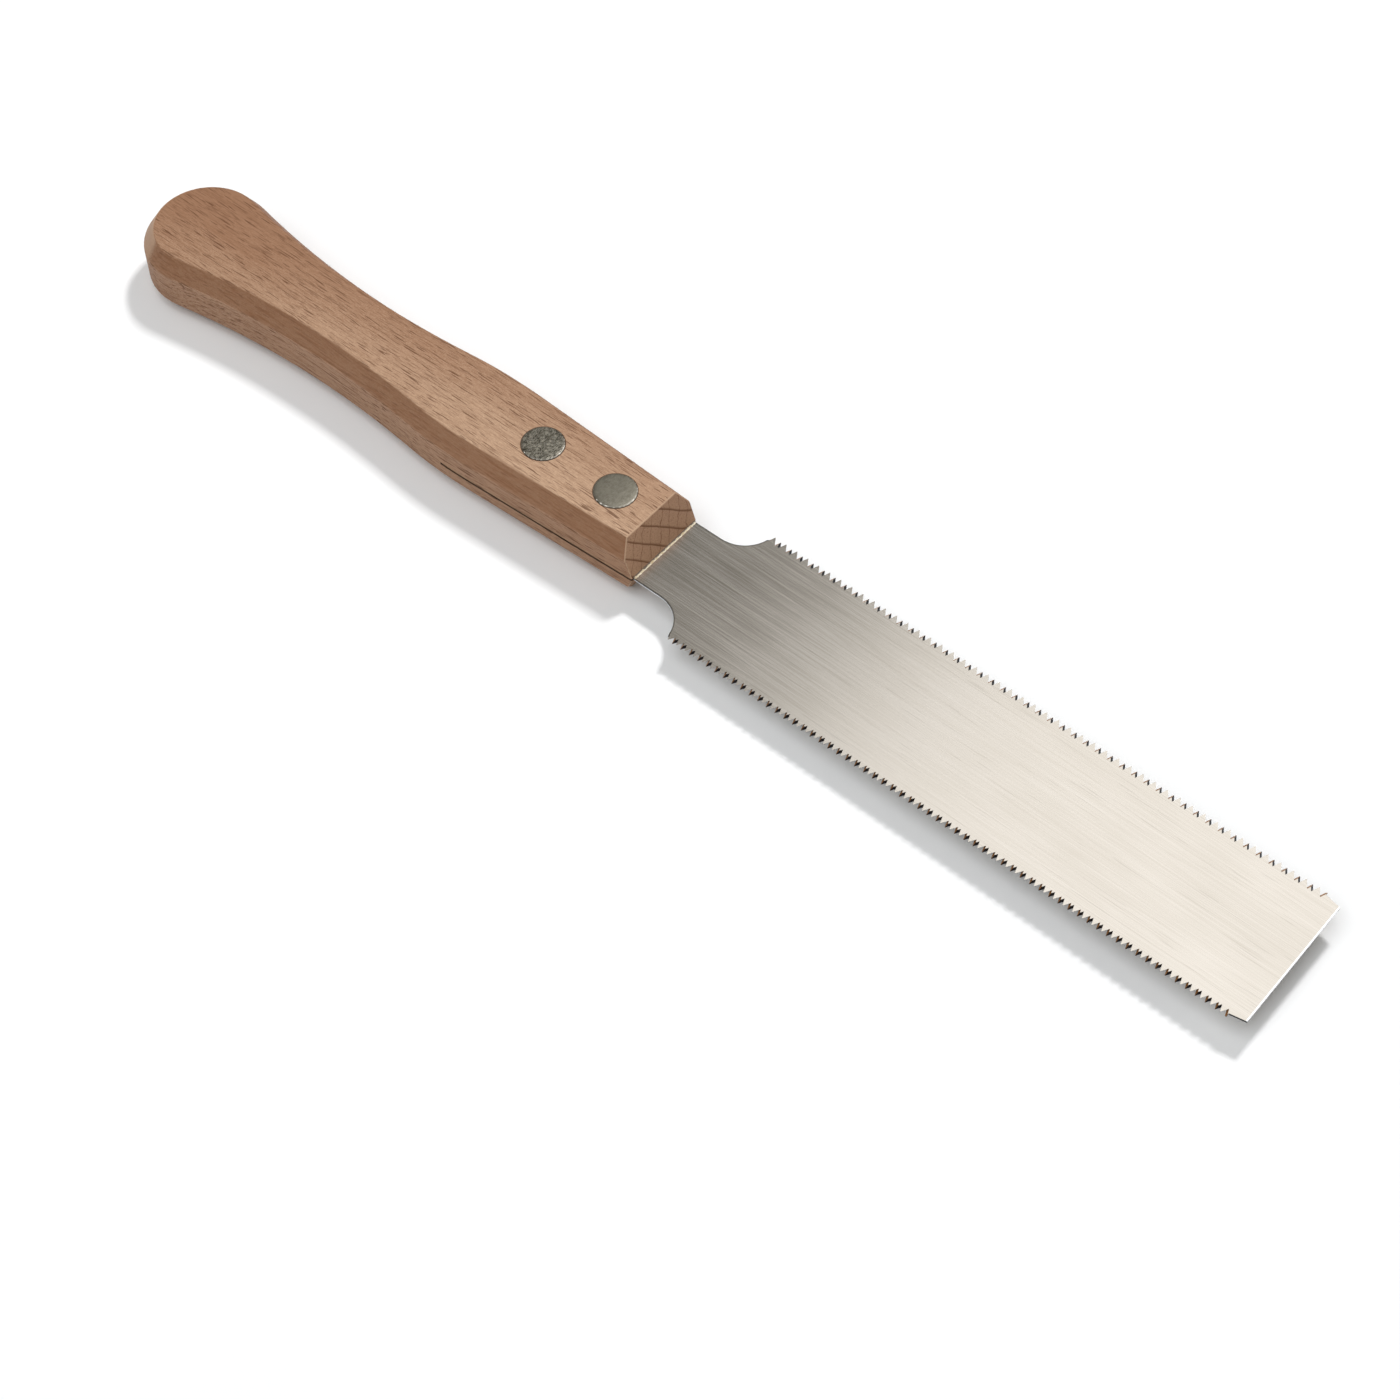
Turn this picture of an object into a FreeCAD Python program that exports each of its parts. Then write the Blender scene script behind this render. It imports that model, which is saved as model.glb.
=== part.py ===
# A double-edged flush-cutting hand saw: a beech handle, a thin blade with a coarse and a
# fine toothed edge, two compression rivets through the tang, and a bead of glue.
# Millimetres. +X runs from the butt of the handle to the tip of the blade, +Z is up, and
# the handle lies on its flat underside at Z = 0. Each sketch measures X from the butt.
import FreeCAD
import Part
import Sketcher
import math
import os
from FreeCAD import Vector

SIZES = [
    ("handle_length", 144.5, "butt of the handle to the line where the blade comes out"),
    ("handle_thickness", 15.0, "flat underside to flat top"),
    ("head_width", 28.6, "round head at the butt, across"),
    ("waist_width", 20.0, "narrowest place behind the swell"),
    ("waist_setback", 86.0, "front of the handle back to the waist"),
    ("swell_width", 24.2, "widest place in front of the waist"),
    ("swell_setback", 48.5, "front of the handle back to the swell"),
    ("swell_radius", 110.0, "round of the swell, seen from above"),
    ("front_width", 20.2, "across the front, before its corners are rounded"),
    ("corner_radius", 0.4, "rounding of the front's upright corners"),
    ("front_setback", 3.4, "how far the top of the front leans back"),
    ("top_bevel_width", 2.7, "bevel around the top, across"),
    ("top_bevel_depth", 4.2, "the same bevel, downwards"),
    ("under_bevel_width", 2.4, "bevel around the underside, across"),
    ("under_bevel_depth", 3.2, "the same bevel, upwards"),
    ("blade_reach", 150.0, "handle to the tip of the blade"),
    ("blade_width", 33.7, "tooth tip to tooth tip"),
    ("blade_thickness", 0.5, "sheet steel"),
    ("blade_height", 6.1, "middle of the sheet above the underside"),
    ("neck_width", 19.1, "tang and neck, across"),
    ("neck_length", 6.9, "straight part of the neck in front of the handle"),
    ("neck_radius", 7.6, "hollow curve from the neck out to the heel"),
    ("tang_length", 46.0, "blade inside the handle"),
    ("tang_corner", 4.0, "corners cut off the end of the tang"),
    ("kerf_depth", 50.5, "saw cut that takes the tang, from the front"),
    ("kerf_clearance", 0.05, "between the sheet and each wall of the cut"),
    ("coarse_pitch", 1.408, "tooth to tooth on the +Y edge"),
    ("coarse_depth", 1.8, "tip to gullet on the +Y edge"),
    ("coarse_slant", 0.55, "sideways run of each gullet through the sheet, on the +Y edge"),
    ("fine_pitch", 1.084, "tooth to tooth on the -Y edge"),
    ("fine_depth", 1.45, "tip to gullet on the -Y edge"),
    ("fine_slant", 0.42, "sideways run of each gullet through the sheet, on the -Y edge"),
    ("tooth_rake", 0.2, "tips lean this far towards the handle, for cutting on the pull"),
    ("first_gullet", 0.2, "heel to the middle of the first gullet"),
    ("tooth_land", 0.08, "flat left on each tip"),
    ("toothless_tip", 3.5, "plain length at the tip of the blade"),
    ("tip_step", 0.65, "plain length stands back from the tooth tips"),
    ("tip_taper", 0.7, "how much further it stands back at the corner"),
    ("rear_rivet", 32.4, "front of the handle back to the rear rivet"),
    ("front_rivet", 12.9, "front of the handle back to the front rivet"),
    ("rivet_head", 9.0, "head, across"),
    ("head_thickness", 1.4, "head of the pin half and of the socket half"),
    ("head_proud", 0.3, "top head stands above the wood"),
    ("head_bevel", 0.2, "broken edge of each head"),
    ("barrel_width", 5.0, "socket half, outside"),
    ("pin_width", 3.0, "pin half, outside"),
    ("pin_clearance", 0.02, "pin in the socket's bore, each side"),
    ("hole_clearance", 0.05, "barrel and heads in the wood and the tang, each side"),
    ("barrel_gap", 0.6, "end of the barrel below the top head"),
    ("pin_gap", 1.0, "end of the pin above the bottom of the bore"),
    ("bore_floor", 1.0, "metal below the socket's bore"),
    ("bead_width", 0.35, "glue squeezed out along the handle"),
]

doc = FreeCAD.newDocument("flush_cut_saw")
dims = doc.addObject("Spreadsheet::Sheet", "dims")
for row, (alias, value, note) in enumerate(SIZES, start=1):
    dims.set("A%d" % row, alias)
    dims.set("B%d" % row, str(value))
    dims.set("C%d" % row, note)
    dims.setAlias("B%d" % row, alias)
doc.recompute()

# Heights and places that several pieces share, as expressions of the sheet.
FRONT = "dims.handle_length"
TOP = "dims.handle_thickness"
KERF_HALF = "(dims.blade_thickness / 2 + dims.kerf_clearance)"
SHEET_TOP = "(dims.blade_height + dims.blade_thickness / 2)"
SHEET_UNDER = "(dims.blade_height - dims.blade_thickness / 2)"
TOP_SEAT = "(dims.handle_thickness + dims.head_proud - dims.head_thickness)"
HOLE_WIDTH = "(dims.barrel_width + 2 * dims.hole_clearance)"
RIVETS = {"rear": "(dims.handle_length - dims.rear_rivet)",
          "front": "(dims.handle_length - dims.front_rivet)"}
TOOTH_START = "(dims.handle_length + dims.neck_length + dims.neck_radius + dims.first_gullet)"
TOOTH_RUN = "(dims.handle_length + dims.blade_reach - dims.toothless_tip - %s)" % TOOTH_START

# An edge that covers less than this along an axis (mm) is taken not to run that way.
SLIGHT = 1.0


def size(alias):
    return float(dims.get(alias))


def value(expression):
    """What an expression of the sheet comes to, for a sketch's starting shape."""
    result = dims.evalExpression(expression)
    return float(getattr(result, "Value", result))


def new_body(label):
    body = doc.addObject("PartDesign::Body", label)
    body.Label = label
    body.setExpression(".Placement.Base.x", "-(dims.handle_length + dims.blade_reach) / 2")
    return body


def new_sketch(body, role, name, height=None):
    """A sketch on one of the body's own origin planes, raised by height."""
    sketch = body.newObject("Sketcher::SketchObject", name)
    plane = [item for item in body.Origin.OriginFeatures if item.Role == role][0]
    sketch.AttachmentSupport = [(plane, "")]
    sketch.MapMode = "FlatFace"
    if height:
        sketch.setExpression(".AttachmentOffset.Base.z", height)
    return sketch


def datum(sketch, constraint, expression):
    index = sketch.addConstraint(constraint)
    sketch.setExpression("Constraints[%d]" % index, expression)


def pin_point(sketch, geometry, end, x, y):
    """Fix a point of the sketch at (x, y), each an expression; "0" puts it on the axis."""
    for axis, kind, expression in ((-2, "DistanceX", x), (-1, "DistanceY", y)):
        if expression == "0":
            sketch.addConstraint(Sketcher.Constraint("PointOnObject", geometry, end, axis))
        else:
            datum(sketch, Sketcher.Constraint(kind, -1, 1, geometry, end, value(expression)), expression)


def draw_polygon(sketch, corners):
    """A closed polygon with every corner at an (x, y) pair of expressions."""
    spots = [Vector(value(x), value(y), 0) for x, y in corners]
    lines = []
    for here, there in zip(spots, spots[1:] + spots[:1]):
        lines.append(sketch.addGeometry(Part.LineSegment(here, there), False))
    for line, following in zip(lines, lines[1:] + lines[:1]):
        sketch.addConstraint(Sketcher.Constraint("Coincident", line, 2, following, 1))
    for line, (x, y) in zip(lines, corners):
        pin_point(sketch, line, 1, x, y)


def draw_circles(sketch, centres, diameter):
    for x in centres:
        circle = Part.Circle(Vector(value(x), 0, 0), Vector(0, 0, 1), value(diameter) / 2)
        ring = sketch.addGeometry(circle, False)
        pin_point(sketch, ring, 3, x, "0")
        datum(sketch, Sketcher.Constraint("Diameter", ring, value(diameter)), diameter)


def extrude(body, kind, sketch, length, **options):
    feature = body.newObject("PartDesign::" + kind, sketch.Name + "_" + kind.lower())
    feature.Profile = sketch
    feature.setExpression("Length", length)
    for option, setting in options.items():
        setattr(feature, option, setting)
    doc.recompute()
    return feature


def edge_names(feature, test):
    edges = feature.Shape.Edges
    return ["Edge%d" % (i + 1) for i, edge in enumerate(edges) if test(edge)]


def flat_at(edge, height):
    box = edge.BoundBox
    return abs(box.ZMin - height) < 1e-6 and abs(box.ZMax - height) < 1e-6


# ---------------------------------------------------------------- handle

def hollow_radius(along, across, head_radius):
    """Radius of the hollow arc, level at its low point, that runs smoothly into the head."""
    return (along ** 2 + across ** 2 - head_radius ** 2) / (2 * (head_radius - across))


def swell_hollow_radius(along, rise, swell_radius):
    """Radius of the hollow arc that climbs by rise, over along, to the top of the swell."""
    return (along ** 2 + rise ** 2) / (2 * rise) - swell_radius


def arc_between(centre, radius, first, last):
    """The arc that turns anticlockwise about centre, between the directions of two points."""
    start, end = [math.atan2(p.y - centre.y, p.x - centre.x) for p in (first, last)]
    if end < start:
        end += 2 * math.pi
    circle = Part.Circle(centre, Vector(0, 0, 1), radius)
    return Part.ArcOfCircle(circle, start, end)


def touch_point(centre, radius, other):
    """Where a circle meets a second one that it is tangent to."""
    return centre + (other - centre).normalize() * radius


def flip(point):
    return Vector(point.x, -point.y, 0)


def draw_handle_outline(sketch):
    """Round head, hollow waist, swell, straight taper and a square front."""
    length = size("handle_length")
    head_radius = size("head_width") / 2
    head = Vector(head_radius, 0, 0)
    waist_low = Vector(length - size("waist_setback"), size("waist_width") / 2, 0)
    swell_high = Vector(length - size("swell_setback"), size("swell_width") / 2, 0)
    front_edge = Vector(length, size("front_width") / 2, 0)

    rear_radius = hollow_radius(waist_low.x - head.x, waist_low.y, head_radius)
    rear_hollow = waist_low + Vector(0, rear_radius, 0)
    swell_radius = size("swell_radius")
    swell = swell_high - Vector(0, swell_radius, 0)
    climb = swell_high - waist_low
    fore_radius = swell_hollow_radius(climb.x, climb.y, swell_radius)
    fore_hollow = waist_low + Vector(0, fore_radius, 0)
    head_end = touch_point(head, head_radius, rear_hollow)
    swell_start = touch_point(swell, swell_radius, fore_hollow)
    reach = front_edge - swell
    lean = math.atan2(reach.y, reach.x) + math.acos(swell_radius / reach.Length)
    swell_end = swell + Vector(math.cos(lean), math.sin(lean), 0) * swell_radius

    sketch.addGeometry([
        arc_between(head, head_radius, head_end, flip(head_end)),
        arc_between(rear_hollow, rear_radius, head_end, waist_low),
        arc_between(fore_hollow, fore_radius, waist_low, swell_start),
        arc_between(swell, swell_radius, swell_end, swell_start),
        Part.LineSegment(swell_end, front_edge),
        Part.LineSegment(front_edge, flip(front_edge)),
        Part.LineSegment(flip(front_edge), flip(swell_end)),
        arc_between(flip(swell), swell_radius, flip(swell_start), flip(swell_end)),
        arc_between(flip(fore_hollow), fore_radius, flip(swell_start), flip(waist_low)),
        arc_between(flip(rear_hollow), rear_radius, flip(waist_low), flip(head_end)),
    ], False)
    for join in [(0, 1, 1, 1), (1, 2, 2, 1), (2, 2, 3, 2), (3, 1, 4, 1),
                 (6, 2, 7, 2), (7, 1, 8, 1), (8, 2, 9, 1), (9, 2, 0, 2)]:
        sketch.addConstraint(Sketcher.Constraint("Tangent", *join))
    for join in [(4, 2, 5, 1), (5, 2, 6, 1)]:
        sketch.addConstraint(Sketcher.Constraint("Coincident", *join))
    # The -Y side follows the +Y side: waist, swell and front.
    sketch.addConstraint(Sketcher.Constraint("Symmetric", 1, 2, 9, 1, -1))
    sketch.addConstraint(Sketcher.Constraint("Vertical", 9, 1, 9, 3))
    sketch.addConstraint(Sketcher.Constraint("Symmetric", 3, 3, 7, 3, -1))
    sketch.addConstraint(Sketcher.Constraint("Equal", 3, 7))
    sketch.addConstraint(Sketcher.Constraint("Symmetric", 4, 2, 6, 1, -1))

    pin_point(sketch, 0, 3, "dims.head_width / 2", "0")
    pin_point(sketch, 1, 2, FRONT + " - dims.waist_setback", "dims.waist_width / 2")
    sketch.addConstraint(Sketcher.Constraint("Vertical", 1, 2, 1, 3))
    pin_point(sketch, 3, 3, FRONT + " - dims.swell_setback", "dims.swell_width / 2 - dims.swell_radius")
    pin_point(sketch, 4, 2, FRONT, "dims.front_width / 2")
    datum(sketch, Sketcher.Constraint("Radius", 0, head_radius), "dims.head_width / 2")
    datum(sketch, Sketcher.Constraint("Radius", 3, swell_radius), "dims.swell_radius")


def bevel_rim(body, name, height):
    """Bevel the sides and the round head, but not the front, where they meet a flat face."""
    block = body.Tip
    bevel = body.newObject("PartDesign::Chamfer", name)
    rim = edge_names(block, lambda edge: flat_at(edge, height) and edge.BoundBox.XLength > SLIGHT)
    bevel.Base = (block, rim)
    bevel.ChamferType = "Two distances"
    bevel.setExpression("Size", "dims.%s_depth" % name)
    bevel.setExpression("Size2", "dims.%s_width" % name)
    doc.recompute()


def upright_corner(edge):
    """Whether an edge is one of the front's corners, above or below the blade."""
    box = edge.BoundBox
    at_front = box.XMin > size("handle_length") - size("front_setback") and box.YLength < SLIGHT
    outermost = abs(box.Center.y) > size("front_width") / 2 - SLIGHT
    return at_front and outermost and box.ZLength > SLIGHT


def make_handle():
    body = new_body("handle")
    outline = new_sketch(body, "XY_Plane", "handle_outline")
    draw_handle_outline(outline)
    extrude(body, "Pad", outline, TOP)

    bevel_rim(body, "top_bevel", size("handle_thickness"))
    bevel_rim(body, "under_bevel", 0)

    # The front leans back above and below the blade, at one slope.
    lean = "dims.front_setback / (dims.handle_thickness - dims.blade_height)"
    beyond = FRONT + " + dims.front_setback"
    rake = new_sketch(body, "XZ_Plane", "front_rake")
    draw_polygon(rake, [
        (FRONT, "dims.blade_height"),
        (FRONT + " - dims.front_setback", TOP),
        (beyond, TOP),
        (beyond, "0"),
        (FRONT + " - dims.blade_height * " + lean, "0")])
    extrude(body, "Pocket", rake, "dims.head_width + dims.swell_width", Midplane=True)

    kerf = new_sketch(body, "XZ_Plane", "kerf")
    back = FRONT + " - dims.kerf_depth"
    low = "dims.blade_height - " + KERF_HALF
    high = "dims.blade_height + " + KERF_HALF
    draw_polygon(kerf, [(back, low), (beyond, low), (beyond, high), (back, high)])
    slotted = extrude(body, "Pocket", kerf, "dims.head_width + dims.swell_width", Midplane=True)

    rounding = body.newObject("PartDesign::Fillet", "corner_rounding")
    rounding.Base = (slotted, edge_names(slotted, upright_corner))
    rounding.setExpression("Radius", "dims.corner_radius")
    doc.recompute()

    holes = new_sketch(body, "XY_Plane", "rivet_holes")
    draw_circles(holes, RIVETS.values(), HOLE_WIDTH)
    extrude(body, "Pocket", holes, TOP, Reversed=True)
    seat_width = "(dims.rivet_head + 2 * dims.hole_clearance)"
    top_seats = new_sketch(body, "XY_Plane", "top_seats", TOP)
    draw_circles(top_seats, RIVETS.values(), seat_width)
    extrude(body, "Pocket", top_seats, TOP + " - " + TOP_SEAT)
    under_seats = new_sketch(body, "XY_Plane", "under_seats")
    draw_circles(under_seats, RIVETS.values(), seat_width)
    extrude(body, "Pocket", under_seats, "dims.head_thickness", Reversed=True)
    return body


# ---------------------------------------------------------------- blade

def draw_half_blade(sketch):
    """Half of the sheet on the +Y side: tang, neck, hollow curve, edge and plain tip."""
    neck = "dims.neck_width / 2"
    edge = "dims.blade_width / 2"
    tang_end = FRONT + " - dims.tang_length"
    neck_end = FRONT + " + dims.neck_length"
    plain = FRONT + " + dims.blade_reach - dims.toothless_tip"
    tip = FRONT + " + dims.blade_reach"
    run = [
        (tang_end, "0"),
        (tang_end, neck + " - dims.tang_corner"),
        (tang_end + " + dims.tang_corner", neck),
        (neck_end, neck),
    ]
    rest = [
        (plain, edge),
        (plain, edge + " - dims.tip_step"),
        (tip, edge + " - dims.tip_step - dims.tip_taper"),
        (tip, "0"),
    ]
    radius = size("neck_radius")
    centre = Vector(value(neck_end), value(neck) + radius, 0)
    drop = centre.y - value(edge)
    heel = Vector(centre.x + math.sqrt(radius ** 2 - drop ** 2), value(edge), 0)
    before = [Vector(value(x), value(y), 0) for x, y in run]
    after = [Vector(value(x), value(y), 0) for x, y in rest]
    lines = [Part.LineSegment(a, b) for a, b in zip(before, before[1:])]
    curve = arc_between(centre, radius, before[-1], heel)
    closing = [heel] + after + [before[0]]
    sketch.addGeometry(lines + [curve], False)
    sketch.addGeometry([Part.LineSegment(a, b) for a, b in zip(closing, closing[1:])], False)

    arc = len(lines)
    count = len(lines) + 1 + len(closing) - 1
    for item in range(count):
        if item != arc - 1:
            following = (item + 1) % count
            sketch.addConstraint(Sketcher.Constraint("Coincident", item, 2, following, 1))
    sketch.addConstraint(Sketcher.Constraint("Tangent", arc - 1, 2, arc, 1))
    for item, (x, y) in enumerate(run[:-1]):
        pin_point(sketch, item, 1, x, y)
    pin_point(sketch, arc - 1, 2, *run[-1])
    datum(sketch, Sketcher.Constraint("Radius", arc, radius), "dims.neck_radius")
    sketch.addConstraint(Sketcher.Constraint("Horizontal", arc + 1))
    for item, (x, y) in enumerate(rest):
        pin_point(sketch, arc + 2 + item, 1, x, y)


def cut_teeth(body, row, side):
    """Two gullets that slant opposite ways through the sheet, repeated along one edge."""
    depth = "dims.%s_depth" % row
    reach = "(dims.%s_pitch + dims.%s_slant - dims.tooth_land)" % (row, row)
    over = "%s * (dims.blade_width / 2 + %s)" % (side, depth)
    gaps = "(floor(%s / dims.%s_pitch) + 1)" % (TOOTH_RUN, row)
    cuts = []
    for number, lean in enumerate((1, -1)):
        name = "%s_gullet_%d" % (row, number + 1)
        middle = "%s + %d * dims.%s_pitch" % (TOOTH_START, number, row)
        low = middle + " + %d * dims.%s_slant / 2" % (lean, row)
        notch = new_sketch(body, "XY_Plane", name, SHEET_UNDER)
        draw_polygon(notch, [
            (low, "%s * (dims.blade_width / 2 - %s)" % (side, depth)),
            (low + " - 2 * dims.tooth_rake + " + reach, over),
            (low + " - 2 * dims.tooth_rake - " + reach, over)])
        cut = extrude(body, "Pocket", notch, "dims.blade_thickness",
                      UseCustomVector=True, AlongSketchNormal=True, Direction=Vector(0, 0, 1))
        cut.setExpression("Direction.x", "%d * dims.%s_slant" % (-lean, row))
        cut.setExpression("Direction.z", "dims.blade_thickness")
        doc.recompute()
        cuts.append((cut, notch))
    for number, (cut, notch) in enumerate(cuts):
        count = "floor((%s + 1 - %d) / 2)" % (gaps, number)
        repeat = body.newObject("PartDesign::LinearPattern", cut.Name + "_row")
        repeat.Originals = [cut]
        repeat.Direction = (notch, ["H_Axis"])
        repeat.setExpression("Occurrences", count)
        repeat.setExpression("Length", "2 * dims.%s_pitch * (%s - 1)" % (row, count))
        body.Tip = repeat
        doc.recompute()


def make_blade():
    body = new_body("blade")
    outline = new_sketch(body, "XY_Plane", "half_blade", SHEET_UNDER)
    draw_half_blade(outline)
    half = extrude(body, "Pad", outline, "dims.blade_thickness")
    whole = body.newObject("PartDesign::Mirrored", "whole_blade")
    whole.Originals = [half]
    plane = [item for item in body.Origin.OriginFeatures if item.Role == "XZ_Plane"][0]
    whole.MirrorPlane = (plane, [""])
    body.Tip = whole
    doc.recompute()
    holes = new_sketch(body, "XY_Plane", "tang_holes", SHEET_UNDER)
    draw_circles(holes, RIVETS.values(), HOLE_WIDTH)
    extrude(body, "Pocket", holes, "dims.blade_thickness", Reversed=True)
    cut_teeth(body, "coarse", "1")
    cut_teeth(body, "fine", "-1")
    return body


# ---------------------------------------------------------------- rivets and glue

def make_rivet_part(label, x, profile):
    """Spin a half section about the rivet's own axis."""
    body = new_body(label)
    body.setExpression(".Placement.Base.x", "-(dims.handle_length + dims.blade_reach) / 2 + " + x)
    section = new_sketch(body, "XZ_Plane", label + "_section")
    draw_polygon(section, profile)
    spin = body.newObject("PartDesign::Revolution", label + "_spin")
    spin.Profile = section
    spin.ReferenceAxis = (section, ["V_Axis"])
    spin.Angle = 360
    doc.recompute()
    return body


def make_rivet(name, x):
    head = "dims.rivet_head / 2"
    pin = "dims.pin_width / 2"
    barrel = "dims.barrel_width / 2"
    bore = "dims.pin_width / 2 + dims.pin_clearance"
    crown = "dims.handle_thickness + dims.head_proud"
    pin_half = make_rivet_part("rivet_pin_" + name, x, [
        ("0", "dims.bore_floor + dims.pin_gap"),
        (pin, "dims.bore_floor + dims.pin_gap"),
        (pin, TOP_SEAT),
        (head, TOP_SEAT),
        (head, crown + " - dims.head_bevel"),
        (head + " - dims.head_bevel", crown),
        ("0", crown)])
    socket_half = make_rivet_part("rivet_socket_" + name, x, [
        ("0", "0"),
        (head + " - dims.head_bevel", "0"),
        (head, "dims.head_bevel"),
        (head, "dims.head_thickness"),
        (barrel, "dims.head_thickness"),
        (barrel, TOP_SEAT + " - dims.barrel_gap"),
        (bore, TOP_SEAT + " - dims.barrel_gap"),
        (bore, "dims.bore_floor"),
        ("0", "dims.bore_floor")])
    return [pin_half, socket_half]


def make_glue_bead():
    """The line of glue left above the blade, in the corner against the leaning front."""
    body = new_body("glue_bead")
    lean = "dims.front_setback / (dims.handle_thickness - dims.blade_height)"
    rise = "(dims.blade_thickness / 2 + dims.bead_width)"
    section = new_sketch(body, "XZ_Plane", "bead_section")
    draw_polygon(section, [
        (FRONT + " - dims.blade_thickness / 2 * " + lean, SHEET_TOP),
        (FRONT + " + dims.bead_width", SHEET_TOP),
        (FRONT + " - " + rise + " * " + lean, "dims.blade_height + " + rise)])
    extrude(body, "Pad", section, "dims.neck_width", Midplane=True)
    return body


bodies = [make_handle(), make_blade()]
for rivet_name, rivet_x in RIVETS.items():
    bodies += make_rivet(rivet_name, rivet_x)
bodies.append(make_glue_bead())
doc.recompute()

for item in doc.Objects:
    if "Invalid" in item.State or "Error" in item.State:
        raise RuntimeError("%s did not build: %s" % (item.Label, item.State))
for body in bodies:
    if body.Shape.isNull() or not body.Shape.isValid():
        raise RuntimeError("%s is not a valid solid" % body.Label)

os.makedirs("parts", exist_ok=True)
for body in bodies:
    body.Shape.exportStep("parts/%s.step" % body.Label)
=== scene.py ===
"""Looks for a small double-edged flush-cut saw: beech handle, steel blade, two rivets."""

import math

import bmesh
import bpy
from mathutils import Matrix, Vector


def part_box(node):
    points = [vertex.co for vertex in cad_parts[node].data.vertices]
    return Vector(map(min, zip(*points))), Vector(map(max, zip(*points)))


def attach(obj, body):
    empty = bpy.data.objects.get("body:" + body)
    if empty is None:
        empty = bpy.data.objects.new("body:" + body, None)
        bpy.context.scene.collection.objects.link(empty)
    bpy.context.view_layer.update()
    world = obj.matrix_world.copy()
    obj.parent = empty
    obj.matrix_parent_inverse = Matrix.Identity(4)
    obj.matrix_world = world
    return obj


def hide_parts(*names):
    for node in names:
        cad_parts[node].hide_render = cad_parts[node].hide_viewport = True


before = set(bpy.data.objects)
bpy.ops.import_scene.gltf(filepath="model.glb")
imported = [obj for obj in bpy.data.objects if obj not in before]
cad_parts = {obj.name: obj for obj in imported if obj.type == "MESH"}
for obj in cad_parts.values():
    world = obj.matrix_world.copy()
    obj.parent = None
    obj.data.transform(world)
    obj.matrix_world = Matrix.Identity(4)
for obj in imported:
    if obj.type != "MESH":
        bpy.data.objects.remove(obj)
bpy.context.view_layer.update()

MM = 0.001
MM_PER_METRE = 1000.0

# ---------------------------------------------------------------- camera and light

FOCAL_LENGTH = 70.7
SENSOR_WIDTH = 36.0
CLIP_START = 0.01
CAMERA_PLACE = (0.2252, -0.2620, 0.4411)
CAMERA_TILT = math.radians(35.49)
CAMERA_TURN = math.radians(39.85)

FLOOR_SIZE = 6.0
FLOOR_GAP = 0.02 * MM

AIR_TINT = (1.0, 0.97, 0.91, 1.0)
AIR_STRENGTH = 0.22
BENCH = (0, 0, 0)
SHEEN_TARGET = (0.42, 0.56, 0)
LAMP_WHITE = (1.0, 0.99, 0.98)
SHEEN_WHITE = (1.0, 0.99, 0.985)
SKY_WHITE = (0.965, 0.985, 1.0)


def aim(place, target):
    """Rotation that points a lamp at place towards target."""
    return (Vector(target) - Vector(place)).to_track_quat("-Z", "Y").to_euler()


def add_camera():
    bpy.ops.object.camera_add(location=CAMERA_PLACE, rotation=(CAMERA_TILT, 0, CAMERA_TURN))
    camera = bpy.context.object
    camera.data.lens = FOCAL_LENGTH
    camera.data.sensor_width = SENSOR_WIDTH
    camera.data.clip_start = CLIP_START
    bpy.context.scene.camera = camera


def add_softbox(name, place, target, wide, tall, glow, tint, seen_in_metal=True, lights_room=True):
    """A flat studio lamp, wide by tall metres, aimed at target and as bright as a wall of glow."""
    bpy.ops.object.light_add(type="AREA", location=place, rotation=aim(place, target))
    lamp = bpy.context.object
    lamp.name = name
    lamp.data.shape = "RECTANGLE"
    lamp.data.size = wide
    lamp.data.size_y = tall
    lamp.data.energy = glow * math.pi * wide * tall
    lamp.data.color = tint
    lamp.visible_camera = False
    lamp.visible_glossy = seen_in_metal
    lamp.visible_diffuse = lights_room


def make_light():
    """A small hard key from behind, two broad soft lamps, and two cards for the metal to mirror."""
    world = bpy.data.worlds.new("studio_air")
    bpy.context.scene.world = world
    world.use_nodes = True
    air = world.node_tree.nodes["Background"]
    air.inputs["Color"].default_value = AIR_TINT
    air.inputs["Strength"].default_value = AIR_STRENGTH
    add_softbox("key_softbox", (-0.12, 0.70, 1.02), BENCH, wide=0.16, tall=0.16,
                glow=115.0, tint=LAMP_WHITE, seen_in_metal=False)
    add_softbox("top_softbox", (-0.15, -0.45, 1.5), BENCH, wide=1.2, tall=1.2,
                glow=2.27, tint=SKY_WHITE, seen_in_metal=False)
    add_softbox("fill_softbox", (-0.1, -1.1, 0.95), BENCH, wide=1.4, tall=1.2,
                glow=0.94, tint=SKY_WHITE, seen_in_metal=False)
    add_softbox("side_card", (1.2, 0.35, 0.45), BENCH, wide=0.6, tall=0.5,
                glow=1.6, tint=LAMP_WHITE)
    add_softbox("sheen_panel", (0.42, 0.56, 0.90), SHEEN_TARGET, wide=1.5, tall=1.0,
                glow=1.2, tint=SHEEN_WHITE, lights_room=False)
    bpy.context.scene.view_settings.view_transform = "Standard"


# ---------------------------------------------------------------- shader maths


def srgb(red, green, blue):
    """A colour given on the 0 to 255 scale, as the linear colour a shader takes."""
    def linear(level):
        level /= 255
        return level / 12.92 if level <= 0.04045 else ((level + 0.055) / 1.055) ** 2.4
    return (linear(red), linear(green), linear(blue), 1.0)


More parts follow.
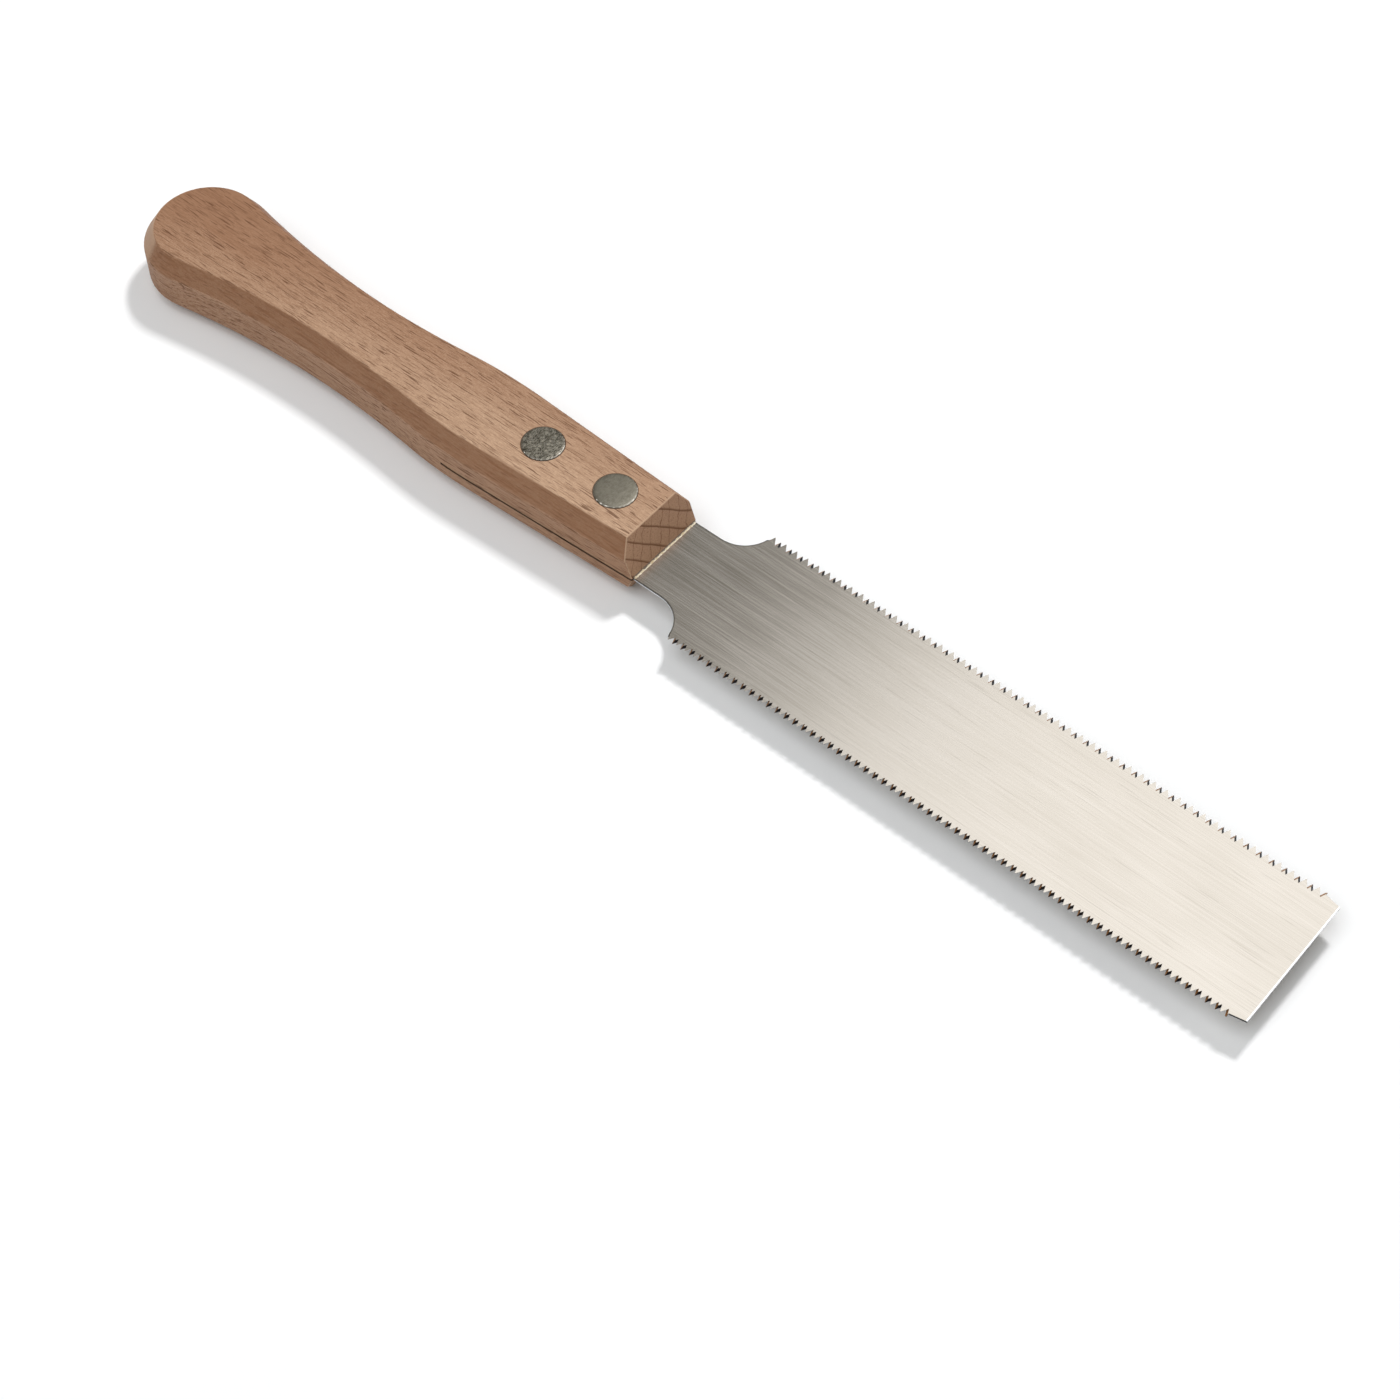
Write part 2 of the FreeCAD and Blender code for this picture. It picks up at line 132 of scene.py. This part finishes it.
class Wire:
    """One output of a finish's nodes. Arithmetic on it adds Math nodes."""

    def __init__(self, tree, socket):
        self.tree = tree
        self.socket = socket

    def node(self, kind, settings, inputs, output=0):
        """Adds a node: its settings are set first, then each input's value or link."""
        made = self.tree.nodes.new("ShaderNode" + kind)
        for key, value in settings.items():
            setattr(made, key, value)
        for key, value in inputs.items():
            socket = made.inputs[key]
            if isinstance(value, Wire):
                self.tree.links.new(value.socket, socket)
            else:
                socket.default_value = value
        return Wire(self.tree, made.outputs[output])

    def maths(self, operation, first, second=0.0):
        return self.node("Math", {"operation": operation}, {0: first, 1: second})

    def __add__(self, other):
        return self.maths("ADD", self, other)

    def __radd__(self, other):
        return self.maths("ADD", other, self)

    def __sub__(self, other):
        return self.maths("SUBTRACT", self, other)

    def __rsub__(self, other):
        return self.maths("SUBTRACT", other, self)

    def __mul__(self, other):
        return self.maths("MULTIPLY", self, other)

    def __rmul__(self, other):
        return self.maths("MULTIPLY", other, self)

    def __truediv__(self, other):
        return self.maths("DIVIDE", self, other)

    def __pow__(self, other):
        return self.maths("POWER", self, other)

    def fraction(self):
        return self.maths("FRACT", self)

    def size(self):
        return self.maths("ABSOLUTE", self)

    def most(self, other):
        return self.maths("MAXIMUM", self, other)

    def between(self, low, high):
        """0 below low, 1 above high, a smooth ramp between them."""
        return self.node("MapRange", {"interpolation_type": "SMOOTHSTEP"},
                         {"Value": self, "From Min": low, "From Max": high})

    def band(self, start, full, fade, end):
        """0 up to start, 1 from full to fade, 0 again from end."""
        return self.between(start, full) * (1.0 - self.between(fade, end))

    def stretched(self, x, y, z):
        """This position with each axis multiplied."""
        return self.node("VectorMath", {"operation": "MULTIPLY"}, {0: self, 1: (x, y, z)})

    def noise(self, scale=1.0, detail=2.0, roughness=0.5, distortion=0.0):
        """Cloudy noise at this position, from 0 to 1."""
        return self.node("TexNoise", {}, {"Vector": self, "Scale": scale, "Detail": detail,
                                          "Roughness": roughness, "Distortion": distortion})

    def grain(self, waves, low=None, high=None, **character):
        """Noise with that many waves a millimetre on each axis; with low and high, its marks."""
        cloudy = self.stretched(*waves).noise(**character)
        return cloudy if low is None else cloudy.between(low, high)

    def blend(self, first, second):
        """first where this is 0, second where it is 1, as colours."""
        return self.node("Mix", {"data_type": "RGBA"},
                         {0: self, 6: first, 7: second}, output=2)

    def number_blend(self, first, second):
        """first where this is 0, second where it is 1, as numbers."""
        return self.node("Mix", {"data_type": "FLOAT"}, {0: self, 2: first, 3: second})

    def coated(self, coats):
        """This colour under coats: each is where it lies, how much it hides and its colour."""
        tone = self
        for where, cover, shade in coats:
            tone = (where * cover).blend(tone, shade)
        return tone

    def axes(self):
        """The three parts of this position."""
        split = self.node("SeparateXYZ", {}, {0: self}).socket.node
        return [Wire(self.tree, split.outputs[axis]) for axis in "XYZ"]


class Finish:
    """A new material, with its shader and the position on the piece in millimetres."""

    def __init__(self, name, **constants):
        self.material = bpy.data.materials.new(name)
        self.material.use_nodes = True
        self.tree = self.material.node_tree
        self.tree.nodes.clear()
        output = self.tree.nodes.new("ShaderNodeOutputMaterial")
        self.shader = self.tree.nodes.new("ShaderNodeBsdfPrincipled")
        self.tree.links.new(self.shader.outputs[0], output.inputs["Surface"])
        for socket, value in constants.items():
            self.shader.inputs[socket.replace("_", " ")].default_value = value
        place = self.tree.nodes.new("ShaderNodeTexCoord")
        self.place = Wire(self.tree, place.outputs["Object"]).stretched(*(MM_PER_METRE,) * 3)
        self.facing = Wire(self.tree, place.outputs["Normal"])

    def feed(self, socket, wire):
        self.tree.links.new(wire.socket, self.shader.inputs[socket])

    def raise_by(self, *layers):
        """Bumps: each layer is a height from 0 to 1, its depth in millimetres and its strength."""
        normal = None
        for height, depth, strength in layers:
            inputs = {"Height": height, "Distance": depth * MM, "Strength": strength}
            if normal:
                inputs["Normal"] = normal
            normal = height.node("Bump", {}, inputs)
        self.feed("Normal", normal)


def box_mm(node):
    """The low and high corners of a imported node, in millimetres."""
    low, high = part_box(node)
    return low * MM_PER_METRE, high * MM_PER_METRE


def rivet_axis(node):
    """The middle of a rivet's head along and across the handle, and its radius, in millimetres."""
    low, high = box_mm(node)
    middle = (low + high) / 2
    return middle.x, middle.y, (high.x - low.x) / 2


# In the finishes below, places and widths are in millimetres.
BLADE_LOW, BLADE_HIGH = box_mm("blade")
SHEET_LEVEL = (BLADE_LOW.z + BLADE_HIGH.z) / 2
ENDS = ("rear", "front")

# ---------------------------------------------------------------- beech

BEECH_PALE = srgb(198, 167, 140)
BEECH_TAN = srgb(152, 115, 90)
BEECH_STREAK = srgb(122, 84, 58)
BEECH_RING = srgb(104, 68, 45)
BEECH_FLECK = srgb(88, 54, 36)
# Darker brown for the flanks and bevels; on the far bevel it is painted shade.
BEECH_DARKER = srgb(128, 82, 50)
BEECH_END = srgb(176, 138, 110)
# Painted shade in the sawn slot and round the rivet seats.
BEECH_SHADE = srgb(40, 30, 22)

# Rings circle a pith above the handle and beside it; rays fan out from their own heart.
PITH_Y = 60.7
PITH_Z = 82.4
RING_GAP = 3.53
RING_PHASE = 0.62
RING_SWAY = 3.0
RING_LINE = (0.80, 0.95, 0.955, 1.0)
RAY_HEART_Y = 43.0
RAY_HEART_Z = 92.0
RAY_GAP = 3.1
RAY_SWAY = 0.9
RAY_LINE = (0.0, 0.035, 0.05, 0.09)
LANE_SWAY = 1.2

# Long dark flecks and shorter ticks, broad dashes, and the pores between them.
SWAY = {"waves": (0.012, 0.05, 0.05), "detail": 3.0}
WANDER = {"waves": (0.03, 0.0, 0.0), "detail": 1.0}
FLECK = {"waves": (0.20, 3.3, 2.9), "low": 0.62, "high": 0.69, "detail": 1.0, "roughness": 0.3}
TICK = {"waves": (0.32, 4.4, 4.0), "low": 0.58, "high": 0.68, "detail": 1.0, "roughness": 0.3}
DASH = {"waves": (0.07, 2.6, 2.2), "low": 0.50, "high": 0.68}
PORE = {"waves": (0.8, 3.8, 3.8), "low": 0.30, "high": 0.70, "detail": 3.0, "roughness": 0.75}
CLOUD = {"waves": (0.018, 0.10, 0.10)}
FUZZ_SCALE = 3.2

# How far a face leans, as the size of its normal's part along one axis.
BEVEL_LEAN = (0.45, 0.55, 0.78, 0.92)
FRONT_ARRIS_LEAN = (0.25, 0.4, 0.85, 0.9)
END_LEAN = (0.75, 0.95)
FLANK_LEAN = (0.7, 0.9)

# Painted light makes the wood paler from just behind the butt to just behind the front.
LIGHTEN_FROM = -150.0
LIGHTEN_OVER = 141.0

KERF_BEYOND_TANG = 4.5
KERF_END = BLADE_LOW.x - KERF_BEYOND_TANG
KERF_SOFTENS = 0.3
# The painted slot shade fades out between these distances from the sheet's level.
KERF_SHADE_REACH = (0.28, 0.34)
SEAT_GAP = 0.05
# Painted shade fades out between these distances from the gap round a rivet head.
SEAT_SHADE_REACH = (0.04, 0.22)
SEAT_COVER = 0.85


def growth_rings(at, y, z):
    """The dark late wood of each ring."""
    sway = (at.grain(**SWAY) - 0.5) * RING_SWAY
    off_y, off_z = y - PITH_Y, z - PITH_Z
    from_pith = (off_y * off_y + off_z * off_z) ** 0.5 + sway
    return (from_pith / RING_GAP + RING_PHASE).fraction().band(*RING_LINE)


def rays(at, y, z):
    """Thin lines across the rings."""
    across = (y - RAY_HEART_Y) / (RAY_HEART_Z - z) * RAY_HEART_Z
    return (across / RAY_GAP + at.noise(scale=0.3) * RAY_SWAY).fraction().band(*RAY_LINE)


def kerf_shade(x, z):
    """Painted shade in the sawn slot that shows along the flanks."""
    from_sheet = (z - SHEET_LEVEL).size()
    return (1.0 - from_sheet.between(*KERF_SHADE_REACH)) * x.between(KERF_END - KERF_SOFTENS, KERF_END)


def seat_shade(x, y, node):
    """A painted shade hairline in the gap round a rivet's head."""
    rivet_x, rivet_y, radius = rivet_axis(node)
    gap_x, gap_y = x - rivet_x, y - rivet_y
    gap = ((gap_x * gap_x + gap_y * gap_y) ** 0.5 - (radius + SEAT_GAP)).size()
    return 1.0 - gap.between(*SEAT_SHADE_REACH)


def beech():
    """Planed, lightly oiled beech: rings round a far pith, ray flecks, fine pores; painted light makes it
    paler towards the front, with a painted highlight on the front arris and painted shade on the far
    bevel, in the slot and round the rivet heads.
    """
    wood = Finish("beech_oiled", Specular_IOR_Level=0.2)
    at = wood.place
    x, y, z = at.axes()
    facing = wood.facing.axes()
    nx, ny, nz = [part.size() for part in facing]

    wander = at.grain(**WANDER) * LANE_SWAY
    lane = at.node("CombineXYZ", {}, {0: x, 1: y + wander, 2: z + wander})
    fleck = lane.grain(**FLECK)
    tick = lane.grain(**TICK)
    dash = lane.grain(**DASH)
    pore = lane.grain(**PORE)
    cloud = at.grain(**CLOUD)
    fuzz = at.noise(scale=FUZZ_SCALE, detail=2.0)

    end_on = nx.between(*END_LEAN)
    along = 1.0 - end_on
    bevel = nz.band(*BEVEL_LEAN) * along
    # The front arris, for a painted highlight.
    arris_highlight = nx.band(*FRONT_ARRIS_LEAN) * nz.between(0.4, 0.6)
    flank = ny.between(*FLANK_LEAN)
    # Faces turned to the far side, for painted shade on the far bevel.
    far_shade = facing[1].between(0.3, 0.6)
    forward = ((x - LIGHTEN_FROM) / LIGHTEN_OVER) ** 0.6

    # Paler towards the front and the near side as painted light, with slow clouds and a fine fuzz in the
    # wood's own tone.
    board_and_painted_light = forward * 0.75 - y * 0.022 - 0.05 + (cloud - 0.5) * 0.5 + (fuzz - 0.5) * 0.7
    # The flanks are darker, more towards the front, and the far bevel gets a little painted shade.
    darker_flanks_far_shade = flank * (0.10 + forward * 0.45) + far_shade * (1.0 - flank) * 0.5
    mark = (fleck * 0.72).most(tick * 0.40)
    tone = board_and_painted_light.between(0.0, 1.0).blend(BEECH_TAN, BEECH_PALE).coated([
        (pore, 0.34, BEECH_STREAK),
        (end_on, 0.85, BEECH_END),
        ((fuzz - 0.5).size() * end_on, 2.4, BEECH_RING),
        (darker_flanks_far_shade, 1.0, BEECH_DARKER),
        (dash * (0.26 + flank * 0.30), along, BEECH_STREAK),
        (growth_rings(at, y, z), 0.16 + end_on * 0.74, BEECH_RING),
        (rays(at, y, z) * end_on, 0.8, BEECH_RING),
        (bevel, 0.50, BEECH_DARKER),
        (mark * (1.0 - bevel * 0.6), along, BEECH_FLECK),
        # A painted highlight along the front arris.
        (arris_highlight, 0.6, BEECH_PALE),
        # Painted shade in the sawn slot.
        (kerf_shade(x, z), 0.96, BEECH_SHADE),
    ] + [
        # Painted shade in the gaps round the rivet heads.
        (seat_shade(x, y, f"rivet_pin_{end}"), SEAT_COVER, BEECH_SHADE) for end in ENDS
    ])
    wood.feed("Base Color", tone)
    wood.feed("Roughness", 0.54 + pore * 0.12 + fleck * 0.1 - bevel * 0.06)
    wood.raise_by((1.0 - pore, 0.02, 0.6), (1.0 - fleck, 0.03, 0.6))
    return wood.material


# ---------------------------------------------------------------- blade

STEEL_DULL = srgb(188, 182, 171)
STEEL_BRIGHT = srgb(228, 223, 216)
STEEL_SCRATCH = srgb(120, 114, 102)
# Painted shade for the line inside the neck and the top of the cut edges.
STEEL_SHADOW = srgb(60, 56, 50)
# Cut edges: bare steel, painted paler as a highlight.
STEEL_CUT_GLINT = srgb(244, 247, 252)
# A painted highlight for the tip's edge.
STEEL_TIP_GLINT = srgb(250, 252, 255)
# A painted glint brown and a painted shade black for the tooth facets.
FACET_GLINT_BROWN = srgb(150, 104, 60)
FACET_SHADE_BLACK = srgb(30, 29, 33)

BRUSH_FINE = {"waves": (0.06, 4.2, 4.2)}
BRUSH_BROAD = {"waves": (0.04, 2.0, 2.0)}
BRUSH_CLOUD = {"waves": (0.05, 0.07, 0.07)}
BRUSH_SCRATCH = {"waves": (0.08, 3.4, 3.4), "low": 0.66, "high": 0.72, "detail": 1.0}

# The brushing shows most from the handle's front to here.
HEEL_REACH = 70.0
TEETH_FROM = 8.0
TOOTH_ROOT = BLADE_HIGH.y - 2.25
CUT_LEAN = (0.90, 0.98)
# Above this level each cut edge is painted dark as shade.
CUT_SHADE_LEVELS = (BLADE_HIGH.z - 0.27, BLADE_HIGH.z - 0.23)
# The painted highlight along the tip's edge lies this far in.
TIP_GLINT = (BLADE_HIGH.x - 0.35, BLADE_HIGH.x - 0.25)

NECK_HALF = 9.55
NECK_END = 4.15
NECK_RADIUS = 7.6
NECK_BLUR = 0.1
OUTLINE = (0.12, 0.26)
OUTLINE_ENDS = (12.0, 13.0)


def neck_shade_line(x, y):
    """A painted shade line inside the edge of the neck and of the hollow curve beyond it."""
    half = y.size()
    curve_x, curve_y = x - NECK_END, half - (NECK_HALF + NECK_RADIUS)
    hollow = (curve_x * curve_x + curve_y * curve_y) ** 0.5 - NECK_RADIUS
    beyond = x.between(NECK_END - NECK_BLUR, NECK_END + NECK_BLUR)
    inside = beyond.number_blend(NECK_HALF - half, hollow)
    return (1.0 - inside.between(*OUTLINE)) * (1.0 - x.between(*OUTLINE_ENDS))


def brushed_steel():
    """Cold-rolled blade steel, brushed along its length, with a painted shade line inside the neck, a
    painted highlight at the tip, painted highlight and shade on the cut edges, and tooth facets painted
    black on one side and brown on the other as painted shade and painted glints.
    """
    steel = Finish("blade_steel_brushed")
    at = steel.place
    x, y, z = at.axes()
    facing = steel.facing.axes()
    fine = at.grain(**BRUSH_FINE)
    broad = at.grain(**BRUSH_BROAD)
    cloud = at.grain(**BRUSH_CLOUD)
    heel = 1.0 - x.between(0.0, HEEL_REACH)
    # Fine lines carry the brushing, most strongly near the heel.
    shade = (fine - 0.5) * (0.45 + heel * 0.7) + (broad - 0.5) * 0.12 + (cloud - 0.5) * 0.3 + 0.5

    cut = 1.0 - facing[2].size().between(*CUT_LEAN)
    tooth = cut * y.size().between(TOOTH_ROOT, TOOTH_ROOT + 0.2) * x.between(TEETH_FROM, TEETH_FROM + 1.0)
    # Cut edges: pale as a painted highlight, with a painted shade line along the top.
    rim_glint_and_shade = z.between(*CUT_SHADE_LEVELS).blend(STEEL_CUT_GLINT, STEEL_SHADOW)
    # Tooth facets: black on one side as painted shade, brown on the other as painted glints.
    facet_glint_and_shade = facing[0].between(-0.2, 0.2).blend(FACET_GLINT_BROWN, FACET_SHADE_BLACK)
    tone = shade.between(0.0, 1.0).blend(STEEL_DULL, STEEL_BRIGHT).coated([
        (at.grain(**BRUSH_SCRATCH), 0.16, STEEL_SCRATCH),
        # A painted shade line inside the neck's edge.
        (neck_shade_line(x, y), 0.75, STEEL_SHADOW),
        # A painted highlight along the tip.
        (x.between(*TIP_GLINT), 1.0, STEEL_TIP_GLINT),
        (cut, 1.0 - tooth, rim_glint_and_shade),
        (tooth, 1.0, facet_glint_and_shade),
    ])
    steel.feed("Base Color", tone)
    steel.feed("Metallic", 1.0 - tooth * 0.5)
    steel.feed("Roughness", 0.15 + fine * 0.08 + cloud * 0.05 + cut * 0.15)
    steel.raise_by((fine, 0.006, 0.3), (broad, 0.004, 0.2))
    return steel.material


# ---------------------------------------------------------------- rivets

RIVET_SCORE = srgb(66, 64, 58)
# Painted shade and a painted highlight for the rolled rims.
RIM_SHADE = srgb(44, 38, 30)
RIM_GLINT = srgb(252, 248, 238)
SATIN = {"dark": srgb(160, 155, 141), "pale": srgb(188, 183, 168), "scoring": 0.15}
WORN = {"dark": srgb(116, 111, 98), "pale": srgb(236, 230, 214), "scoring": 0.85}

RIVET_GRAIN = {"waves": (7.0, 1.4, 1.0), "detail": 3.0}
RIVET_BLOTCH = {"waves": (0.9, 0.9, 0.9), "detail": 4.0, "roughness": 0.65}
RIVET_MARK = {"waves": (4.2, 2.2, 1.0), "low": 0.45, "high": 0.62, "detail": 4.0, "roughness": 0.7,
              "distortion": 0.8}


def rivet_steel(name, dark, pale, scoring):
    """Nickel-plated steel: satin where scoring is low, scuffed and mottled where it is high; its rims
    carry a painted highlight and painted shade.
    """
    metal = Finish(name)
    at = metal.place
    grain = at.grain(**RIVET_GRAIN)
    blotch = at.grain(**RIVET_BLOTCH)
    mark = at.grain(**RIVET_MARK)
    # Blotches and lengthwise grain share the wear equally.
    wear = blotch.between(0.36, 0.64) * 0.5 + grain.between(0.3, 0.7) * 0.5
    toward_x, toward_y, toward_z = metal.facing.axes()
    # Rolled rims carry a painted highlight on one side and painted shade on the other.
    rim = (1.0 - toward_z.size().between(0.80, 0.92)) * toward_z.between(0.2, 0.4)
    lit = (toward_x - toward_y * 0.4).between(-0.1, 0.35)
    tone = wear.blend(dark, pale).coated([
        (mark, scoring, RIVET_SCORE),
        (rim, 1.0, lit.blend(RIM_SHADE, RIM_GLINT)),
    ])
    metal.feed("Base Color", tone)
    metal.feed("Metallic", 1.0 - rim * 0.8)
    metal.feed("Roughness", 0.34 + blotch * 0.15 + mark * 0.1)
    metal.raise_by((grain, 0.02, 0.4), (mark, 0.05, 0.7 * scoring + 0.1))
    return metal.material


# ---------------------------------------------------------------- glue and floor

GLUE_DULL = srgb(186, 166, 132)
GLUE_PALE = srgb(244, 234, 212)
GLUE_SEAM = srgb(58, 38, 26)
SEAM_LEVELS = (6.50, 6.58)

PAPER_DULL = srgb(242, 243, 245)
PAPER_PALE = srgb(246, 247, 248)


def glue_finish():
    """Dried cream-coloured glue, with a dark seam where it meets the wood."""
    glue = Finish("glue_cream", IOR=1.48)
    at = glue.place
    z = at.axes()[2]
    lump = at.noise(scale=1.6, detail=3.0)
    seam = (z + (lump - 0.5) * 0.5).between(*SEAM_LEVELS)
    tone = lump.between(0.3, 0.7).blend(GLUE_DULL, GLUE_PALE)
    glue.feed("Base Color", tone.coated([(seam, 0.9, GLUE_SEAM)]))
    glue.feed("Roughness", 0.35 + lump * 0.2)
    glue.raise_by((lump, 0.08, 0.6))
    return glue.material


def floor_finish():
    """Matt studio paper."""
    paper = Finish("studio_paper", Roughness=0.9, Specular_IOR_Level=0.1)
    mottle = paper.place.noise(scale=0.02, detail=2.0)
    paper.feed("Base Color", mottle.blend(PAPER_DULL, PAPER_PALE))
    return paper.material


# ---------------------------------------------------------------- pieces

SQUARE_ON = 0.99
TINY = 0.02 * MM
WELD = 0.001 * MM
FLAT_ENOUGH = math.radians(0.5)

ARRIS = 0.28 * MM
ARRIS_ROUNDS = 3
SHARP = math.radians(18)
KERF_MARGIN = 0.5 * MM
# Added to a seat's radius, so in millimetres.
SEAT_MARGIN = 0.3

# A pin head's rise in millimetres; each step is how far in it goes, and its share of the rise.
CROWN = 0.14
CROWN_STEPS = ((0.25, 0.35), (0.9, 0.4), (1.3, 0.25))

BEAD_RUN = 5 * MM
BEAD_CUTS = 60
BEAD_WOBBLE = 0.05 * MM


def deselect_all():
    bpy.ops.object.select_all(action="DESELECT")


def dress(piece, material):
    piece.data.materials.clear()
    piece.data.materials.append(material)


def begin_edit(piece):
    """Opens piece alone for editing, with nothing selected."""
    deselect_all()
    bpy.context.view_layer.objects.active = piece
    piece.select_set(True)
    bpy.ops.object.mode_set(mode="EDIT")
    bpy.ops.mesh.select_all(action="DESELECT")


def end_edit():
    bpy.ops.object.mode_set(mode="OBJECT")


def pick(piece, kind, wanted):
    """Selects the edges or faces of the piece being edited that wanted says yes to."""
    bpy.ops.mesh.select_mode(type=kind)
    bpy.ops.mesh.select_all(action="DESELECT")
    mesh = bmesh.from_edit_mesh(piece.data)
    for part in (mesh.edges if kind == "EDGE" else mesh.faces):
        part.select_set(bool(wanted(part)))
    mesh.select_flush_mode()
    bmesh.update_edit_mesh(piece.data)


def merged_copy(node, name):
    """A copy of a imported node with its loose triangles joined, standing in for that node."""
    piece = bpy.data.objects.new(name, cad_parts[node].data.copy())
    bpy.context.scene.collection.objects.link(piece)
    begin_edit(piece)
    bpy.ops.mesh.select_all(action="SELECT")
    bpy.ops.mesh.remove_doubles(threshold=WELD)
    bpy.ops.mesh.dissolve_limited(angle_limit=FLAT_ENOUGH)
    end_edit()
    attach(piece, "root")
    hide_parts(node)
    return piece


def make_floor():
    deselect_all()
    bpy.ops.mesh.primitive_plane_add(size=FLOOR_SIZE, location=(0, 0, -FLOOR_GAP))
    floor = bpy.context.object
    floor.name = "studio_floor"
    dress(floor, floor_finish())


def make_handle():
    """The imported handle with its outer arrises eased; kerf and rivet seats stay crisp."""
    piece = merged_copy("handle", "handle_wood")
    seats = [rivet_axis(f"rivet_pin_{end}") for end in ENDS]

    def outer(edge):
        if len(edge.link_faces) != 2 or edge.calc_face_angle() < SHARP:
            return False
        middle = (edge.verts[0].co + edge.verts[1].co) / 2
        if abs(middle.z - SHEET_LEVEL * MM) < KERF_MARGIN:
            return False
        for seat_x, seat_y, radius in seats:
            from_axis = math.hypot(middle.x / MM - seat_x, middle.y / MM - seat_y)
            if from_axis < radius + SEAT_MARGIN:
                return False
        return True

    begin_edit(piece)
    pick(piece, "EDGE", outer)
    bpy.ops.mesh.bevel(offset=ARRIS, segments=ARRIS_ROUNDS, profile=0.5, affect="EDGES",
                       clamp_overlap=False)
    end_edit()
    bpy.ops.object.shade_smooth_by_angle(angle=math.radians(28))
    bpy.ops.object.modifier_add(type="WEIGHTED_NORMAL")
    weighting = bpy.context.object.modifiers[-1]
    weighting.keep_sharp = True
    bpy.ops.object.modifier_apply(modifier=weighting.name)
    dress(piece, beech())


def make_blade():
    dress(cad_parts["blade"], brushed_steel())


def make_rivet_half(node, material, facing, crown):
    """One half of a rivet: its head crowned a little, with a rolled rim."""
    piece = merged_copy(node, node + "_turned")
    low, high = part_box(node)
    level = high.z if facing > 0 else low.z

    def cap(face):
        return face.normal.z * facing > SQUARE_ON and abs(face.calc_center_median().z - level) < TINY

    begin_edit(piece)
    pick(piece, "FACE", cap)
    for step, share in CROWN_STEPS:
        bpy.ops.mesh.inset(thickness=step * MM, depth=crown * share * MM)
    end_edit()
    bpy.ops.object.shade_smooth_by_angle(angle=math.radians(38))
    dress(piece, material)


def make_rivets():
    front = rivet_steel("rivet_satin", **SATIN)
    rear = rivet_steel("rivet_worn", **WORN)
    for end, material, slot in (("front", front, "rivet_metal"), ("rear", rear, "rivet_metal_worn")):
        make_rivet_half(f"rivet_pin_{end}", material, 1, CROWN)
        make_rivet_half(f"rivet_socket_{end}", material, -1, 0.0)


def make_glue():
    """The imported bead, cut along its length and made slightly uneven."""
    piece = merged_copy("glue_bead", "glue_line")
    begin_edit(piece)
    pick(piece, "EDGE", lambda edge: abs(edge.verts[0].co.y - edge.verts[1].co.y) > BEAD_RUN)
    bpy.ops.mesh.subdivide(number_cuts=BEAD_CUTS)
    bpy.ops.mesh.select_all(action="SELECT")
    bpy.ops.transform.vertex_random(offset=BEAD_WOBBLE, seed=4)
    end_edit()
    bpy.ops.object.shade_smooth_by_angle(angle=math.radians(60))
    dress(piece, glue_finish())


add_camera()
make_light()
make_floor()
make_handle()
make_blade()
make_rivets()
make_glue()
